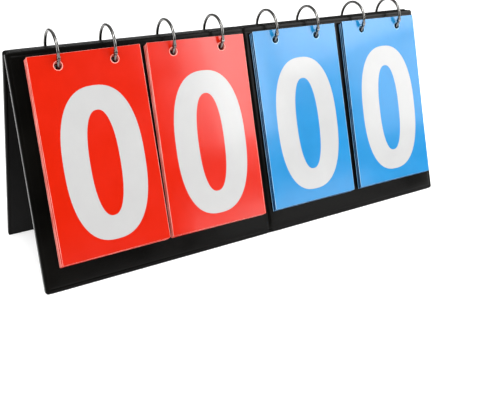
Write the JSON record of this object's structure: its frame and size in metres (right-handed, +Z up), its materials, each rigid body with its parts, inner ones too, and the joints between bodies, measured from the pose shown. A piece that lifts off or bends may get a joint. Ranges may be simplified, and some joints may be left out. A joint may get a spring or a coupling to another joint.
{
  "type": "tabletop flip scoreboard",
  "caption": "Folding two-panel tabletop score stand with four decks of numbered red and blue leaves that flip over the ridge on snap rings.",
  "frame": {"origin": "on the table, under the middle of the stand", "axes": "+X along the stand to the viewer's right, -Y to the front with the leaves, +Z up"},
  "size_m": [0.385, 0.1104, 0.1785],
  "materials": {
    "black_vinyl": "satin vinyl with a fine grain",
    "black_lining": "matt vinyl sheet",
    "grey_board": "plain grey board",
    "red_leaf": "satin printed plastic sheet",
    "blue_leaf": "satin printed plastic sheet",
    "ring_metal": "bright dark nickel plate"
  },
  "bodies": {
    "stand": {"front_cover": "black_vinyl", "front_lining": "black_lining", "front_boards": "grey_board", "ridge_hinge": "black_vinyl", "red_tens_leaf_1": "red_leaf", "red_tens_leaf_2": "red_leaf", "red_tens_leaf_3": "red_leaf", "red_tens_leaf_4": "red_leaf", "red_tens_leaf_5": "red_leaf", "red_tens_leaf_6": "red_leaf", "red_tens_leaf_7": "red_leaf", "red_tens_leaf_8": "red_leaf", "red_tens_leaf_9": "red_leaf", "red_ones_leaf_1": "red_leaf", "red_ones_leaf_2": "red_leaf", "red_ones_leaf_3": "red_leaf", "red_ones_leaf_4": "red_leaf", "red_ones_leaf_5": "red_leaf", "red_ones_leaf_6": "red_leaf", "red_ones_leaf_7": "red_leaf", "red_ones_leaf_8": "red_leaf", "red_ones_leaf_9": "red_leaf", "blue_tens_leaf_1": "blue_leaf", "blue_tens_leaf_2": "blue_leaf", "blue_tens_leaf_3": "blue_leaf", "blue_tens_leaf_4": "blue_leaf", "blue_tens_leaf_5": "blue_leaf", "blue_tens_leaf_6": "blue_leaf", "blue_tens_leaf_7": "blue_leaf", "blue_tens_leaf_8": "blue_leaf", "blue_tens_leaf_9": "blue_leaf", "blue_ones_leaf_1": "blue_leaf", "blue_ones_leaf_2": "blue_leaf", "blue_ones_leaf_3": "blue_leaf", "blue_ones_leaf_4": "blue_leaf", "blue_ones_leaf_5": "blue_leaf", "blue_ones_leaf_6": "blue_leaf", "blue_ones_leaf_7": "blue_leaf", "blue_ones_leaf_8": "blue_leaf", "blue_ones_leaf_9": "blue_leaf"},
    "back_panel": {"back_cover": "black_vinyl", "back_lining": "black_lining", "back_boards": "grey_board"},
    "red_tens_rings": {"red_tens_rings": "ring_metal"},
    "red_tens_front_leaf": {"red_tens_leaf_0": "red_leaf"},
    "red_tens_gate_left": {"red_tens_gate_left": "ring_metal"},
    "red_tens_gate_right": {"red_tens_gate_right": "ring_metal"},
    "red_ones_rings": {"red_ones_rings": "ring_metal"},
    "red_ones_front_leaf": {"red_ones_leaf_0": "red_leaf"},
    "red_ones_gate_left": {"red_ones_gate_left": "ring_metal"},
    "red_ones_gate_right": {"red_ones_gate_right": "ring_metal"},
    "blue_tens_rings": {"blue_tens_rings": "ring_metal"},
    "blue_tens_front_leaf": {"blue_tens_leaf_0": "blue_leaf"},
    "blue_tens_gate_left": {"blue_tens_gate_left": "ring_metal"},
    "blue_tens_gate_right": {"blue_tens_gate_right": "ring_metal"},
    "blue_ones_rings": {"blue_ones_rings": "ring_metal"},
    "blue_ones_front_leaf": {"blue_ones_leaf_0": "blue_leaf"},
    "blue_ones_gate_left": {"blue_ones_gate_left": "ring_metal"},
    "blue_ones_gate_right": {"blue_ones_gate_right": "ring_metal"}
  },
  "joints": [
    {"name": "stand_fold", "type": "hinge", "parent": "stand", "child": "back_panel", "pos_m": [0, 0, 0.16449], "axis": [-1, 0, 0], "range_deg": [-24, 34], "deforming": ["ridge_hinge"]},
    {"name": "red_tens_ring_turn", "type": "hinge", "parent": "stand", "child": "red_tens_rings", "pos_m": [-0.1368, 0, 0.16229], "axis": [-1, 0, 0], "range_deg": [0, 260]},
    {"name": "red_tens_leaf_swing", "type": "hinge", "parent": "red_tens_rings", "child": "red_tens_front_leaf", "pos_m": [-0.1368, -0.01274, 0.15437], "axis": [-1, 0, 0], "range_deg": [0, 66]},
    {"name": "red_tens_gate_left_open", "type": "hinge", "parent": "red_tens_rings", "child": "red_tens_gate_left", "pos_m": [-0.1583, -0.01467, 0.15917], "axis": [-1, 0, 0], "range_deg": [-70, 0]},
    {"name": "red_tens_gate_right_open", "type": "hinge", "parent": "red_tens_rings", "child": "red_tens_gate_right", "pos_m": [-0.1153, -0.01467, 0.15917], "axis": [-1, 0, 0], "range_deg": [-70, 0]},
    {"name": "red_ones_ring_turn", "type": "hinge", "parent": "stand", "child": "red_ones_rings", "pos_m": [-0.0456, 0, 0.16229], "axis": [-1, 0, 0], "range_deg": [0, 260]},
    {"name": "red_ones_leaf_swing", "type": "hinge", "parent": "red_ones_rings", "child": "red_ones_front_leaf", "pos_m": [-0.0456, -0.01274, 0.15437], "axis": [-1, 0, 0], "range_deg": [0, 66]},
    {"name": "red_ones_gate_left_open", "type": "hinge", "parent": "red_ones_rings", "child": "red_ones_gate_left", "pos_m": [-0.0671, -0.01467, 0.15917], "axis": [-1, 0, 0], "range_deg": [-70, 0]},
    {"name": "red_ones_gate_right_open", "type": "hinge", "parent": "red_ones_rings", "child": "red_ones_gate_right", "pos_m": [-0.0241, -0.01467, 0.15917], "axis": [-1, 0, 0], "range_deg": [-70, 0]},
    {"name": "blue_tens_ring_turn", "type": "hinge", "parent": "stand", "child": "blue_tens_rings", "pos_m": [0.0499, 0, 0.16229], "axis": [-1, 0, 0], "range_deg": [0, 260]},
    {"name": "blue_tens_leaf_swing", "type": "hinge", "parent": "blue_tens_rings", "child": "blue_tens_front_leaf", "pos_m": [0.0499, -0.01274, 0.15437], "axis": [-1, 0, 0], "range_deg": [0, 66]},
    {"name": "blue_tens_gate_left_open", "type": "hinge", "parent": "blue_tens_rings", "child": "blue_tens_gate_left", "pos_m": [0.0284, -0.01467, 0.15917], "axis": [-1, 0, 0], "range_deg": [-70, 0]},
    {"name": "blue_tens_gate_right_open", "type": "hinge", "parent": "blue_tens_rings", "child": "blue_tens_gate_right", "pos_m": [0.0714, -0.01467, 0.15917], "axis": [-1, 0, 0], "range_deg": [-70, 0]},
    {"name": "blue_ones_ring_turn", "type": "hinge", "parent": "stand", "child": "blue_ones_rings", "pos_m": [0.1448, 0, 0.16229], "axis": [-1, 0, 0], "range_deg": [0, 260]},
    {"name": "blue_ones_leaf_swing", "type": "hinge", "parent": "blue_ones_rings", "child": "blue_ones_front_leaf", "pos_m": [0.1448, -0.01274, 0.15437], "axis": [-1, 0, 0], "range_deg": [0, 66]},
    {"name": "blue_ones_gate_left_open", "type": "hinge", "parent": "blue_ones_rings", "child": "blue_ones_gate_left", "pos_m": [0.1233, -0.01467, 0.15917], "axis": [-1, 0, 0], "range_deg": [-70, 0]},
    {"name": "blue_ones_gate_right_open", "type": "hinge", "parent": "blue_ones_rings", "child": "blue_ones_gate_right", "pos_m": [0.1663, -0.01467, 0.15917], "axis": [-1, 0, 0], "range_deg": [-70, 0]}
  ],
  "couplings": [
    {"joint": "red_tens_leaf_swing", "follows": "red_tens_ring_turn", "ratio": 0.25307},
    {"joint": "red_ones_leaf_swing", "follows": "red_ones_ring_turn", "ratio": 0.25307},
    {"joint": "blue_tens_leaf_swing", "follows": "blue_tens_ring_turn", "ratio": 0.25307},
    {"joint": "blue_ones_leaf_swing", "follows": "blue_ones_ring_turn", "ratio": 0.25307}
  ]
}
